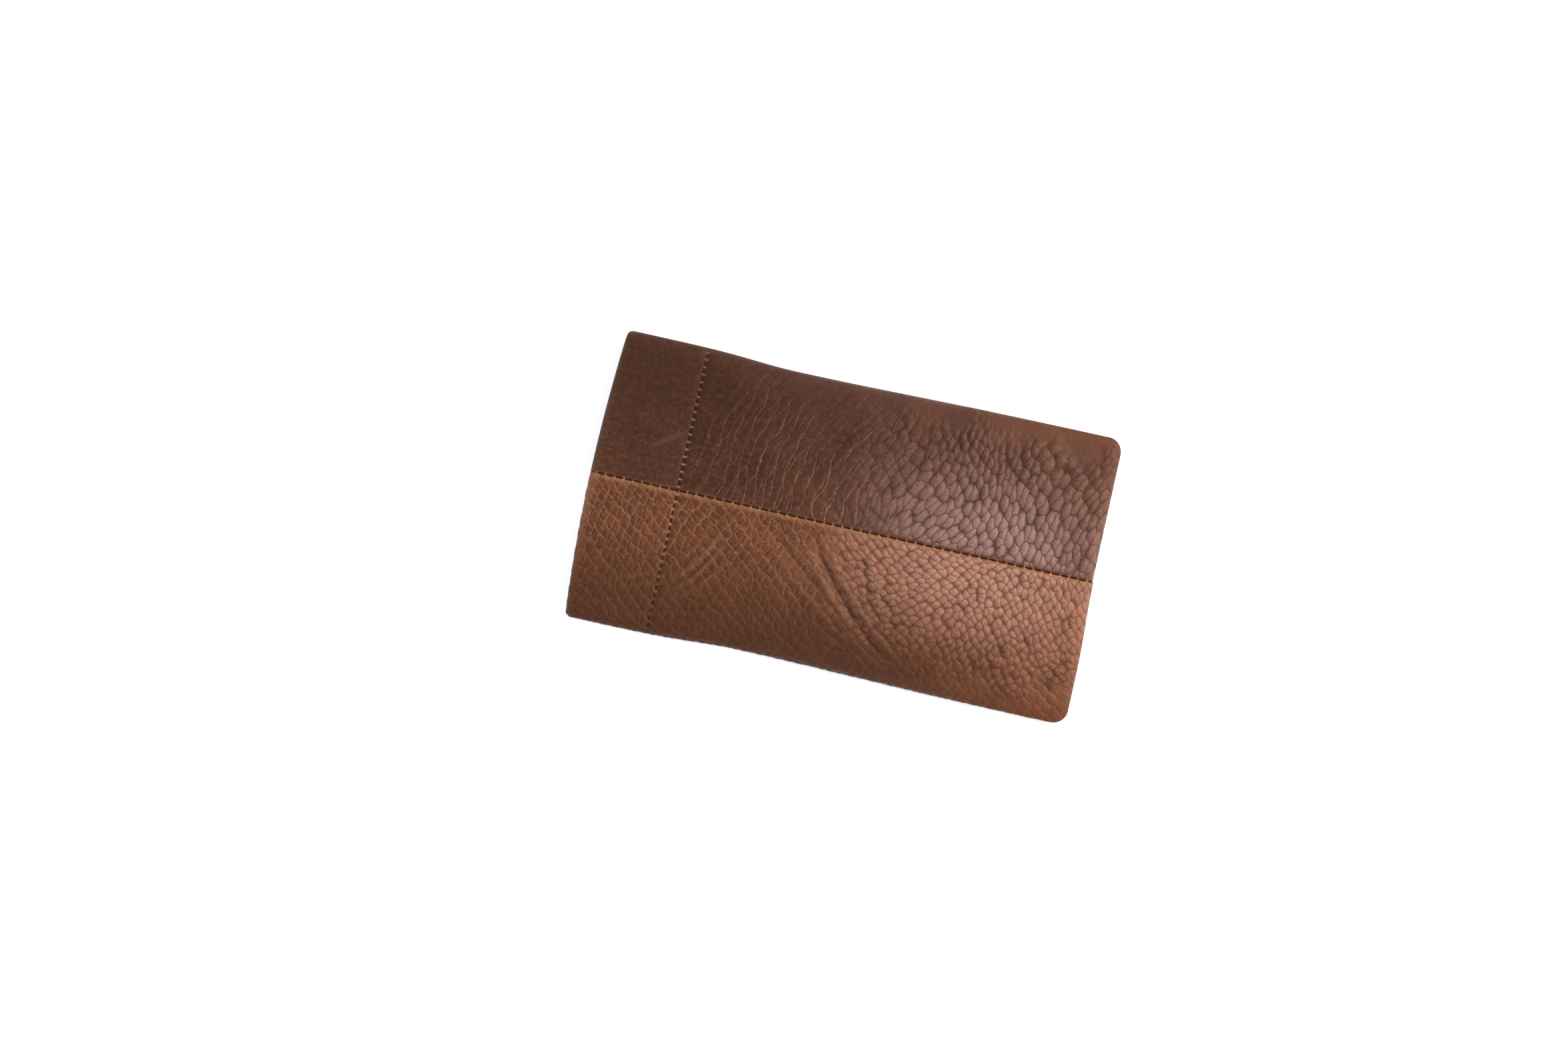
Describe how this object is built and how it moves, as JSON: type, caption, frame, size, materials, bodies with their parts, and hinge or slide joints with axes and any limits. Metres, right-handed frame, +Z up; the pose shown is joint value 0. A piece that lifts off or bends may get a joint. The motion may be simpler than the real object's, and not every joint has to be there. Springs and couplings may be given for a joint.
{
  "type": "soft pouch glasses case",
  "caption": "Flat soft leather pouch for glasses, with a centre seam and a spring mouth that opens when its ends are squeezed.",
  "frame": {"origin": "under the middle of the pouch, on the surface that its back lies on", "axes": "+X from the mouth to the sewn bottom, +Y across the width to the darker half, +Z up through the front"},
  "size_m": [0.19, 0.1076, 0.0146],
  "materials": {
    "dark_leather": "dark chocolate pull-up leather, matte, pebbled towards the bottom",
    "light_leather": "cognac pull-up leather, satin, fine pebble with lighter creases",
    "thread": "dark brown waxed thread",
    "spring_steel": "plain spring steel, rolled"
  },
  "bodies": {
    "back": {"back_upper_panel": "dark_leather", "back_lower_panel": "light_leather", "back_centre_stitching": "thread", "back_upper_channel_stitching": "thread", "back_lower_channel_stitching": "thread", "bottom_stitching": "thread"},
    "upper_edge": {"upper_hinge_pin": "spring_steel", "upper_side_stitching": "thread"},
    "lower_edge": {"lower_hinge_pin": "spring_steel", "lower_side_stitching": "thread"},
    "front_upper": {"front_upper_panel": "dark_leather", "front_centre_stitching": "thread", "front_upper_channel_stitching": "thread"},
    "front_lower": {"front_lower_panel": "light_leather", "front_lower_channel_stitching": "thread"},
    "front_leaf_upper": {"front_upper_spring_leaf": "spring_steel"},
    "front_leaf_lower": {"front_lower_spring_leaf": "spring_steel"},
    "back_leaf_upper": {"back_upper_spring_leaf": "spring_steel"},
    "back_leaf_lower": {"back_lower_spring_leaf": "spring_steel"}
  },
  "joints": [
    {"name": "mouth_squeeze", "type": "hinge", "parent": "back", "child": "upper_edge", "pos_m": [0.092, 0.053, 0.0041], "axis": [0, 0.9849, 0.173], "range_deg": [0, 5.49], "stiffness_Nm_per_rad": 4, "springref_deg": -2.86, "deforming": ["front_upper_panel", "front_upper_channel_stitching", "front_lower_panel", "front_lower_channel_stitching", "front_centre_stitching", "back_upper_panel", "back_upper_channel_stitching", "back_lower_panel", "back_lower_channel_stitching", "back_centre_stitching", "upper_side_stitching", "lower_side_stitching", "bottom_stitching"]},
    {"name": "upper_front_lift", "type": "hinge", "parent": "upper_edge", "child": "front_upper", "pos_m": [0.092, 0.053, 0.0041], "axis": [0, 0.9849, -0.173], "range_deg": [0, 5.49]},
    {"name": "front_leaf_upper_swing", "type": "hinge", "parent": "upper_edge", "child": "front_leaf_upper", "pos_m": [-0.0828, 0.0482, 0.0041], "axis": [1, 0, 0], "range_deg": [-19.77, 0]},
    {"name": "back_leaf_upper_swing", "type": "hinge", "parent": "upper_edge", "child": "back_leaf_upper", "pos_m": [-0.0828, 0.0482, 0.0041], "axis": [1, 0, 0], "range_deg": [0, 19.77]},
    {"name": "lower_edge_lift", "type": "hinge", "parent": "back", "child": "lower_edge", "pos_m": [0.092, -0.053, 0.0041], "axis": [0, 0.9849, -0.173], "range_deg": [0, 5.49]},
    {"name": "lower_front_lift", "type": "hinge", "parent": "lower_edge", "child": "front_lower", "pos_m": [0.092, -0.053, 0.0041], "axis": [0, 0.9849, 0.173], "range_deg": [0, 5.49]},
    {"name": "front_leaf_lower_swing", "type": "hinge", "parent": "lower_edge", "child": "front_leaf_lower", "pos_m": [-0.0828, -0.0482, 0.0041], "axis": [1, 0, 0], "range_deg": [0, 19.77]},
    {"name": "back_leaf_lower_swing", "type": "hinge", "parent": "lower_edge", "child": "back_leaf_lower", "pos_m": [-0.0828, -0.0482, 0.0041], "axis": [1, 0, 0], "range_deg": [-19.77, 0]}
  ],
  "couplings": [
    {"joint": "upper_front_lift", "follows": "mouth_squeeze", "ratio": 1},
    {"joint": "front_leaf_upper_swing", "follows": "mouth_squeeze", "ratio": -3.6},
    {"joint": "back_leaf_upper_swing", "follows": "mouth_squeeze", "ratio": 3.6},
    {"joint": "lower_edge_lift", "follows": "mouth_squeeze", "ratio": 1},
    {"joint": "lower_front_lift", "follows": "mouth_squeeze", "ratio": 1},
    {"joint": "front_leaf_lower_swing", "follows": "mouth_squeeze", "ratio": 3.6},
    {"joint": "back_leaf_lower_swing", "follows": "mouth_squeeze", "ratio": -3.6}
  ]
}
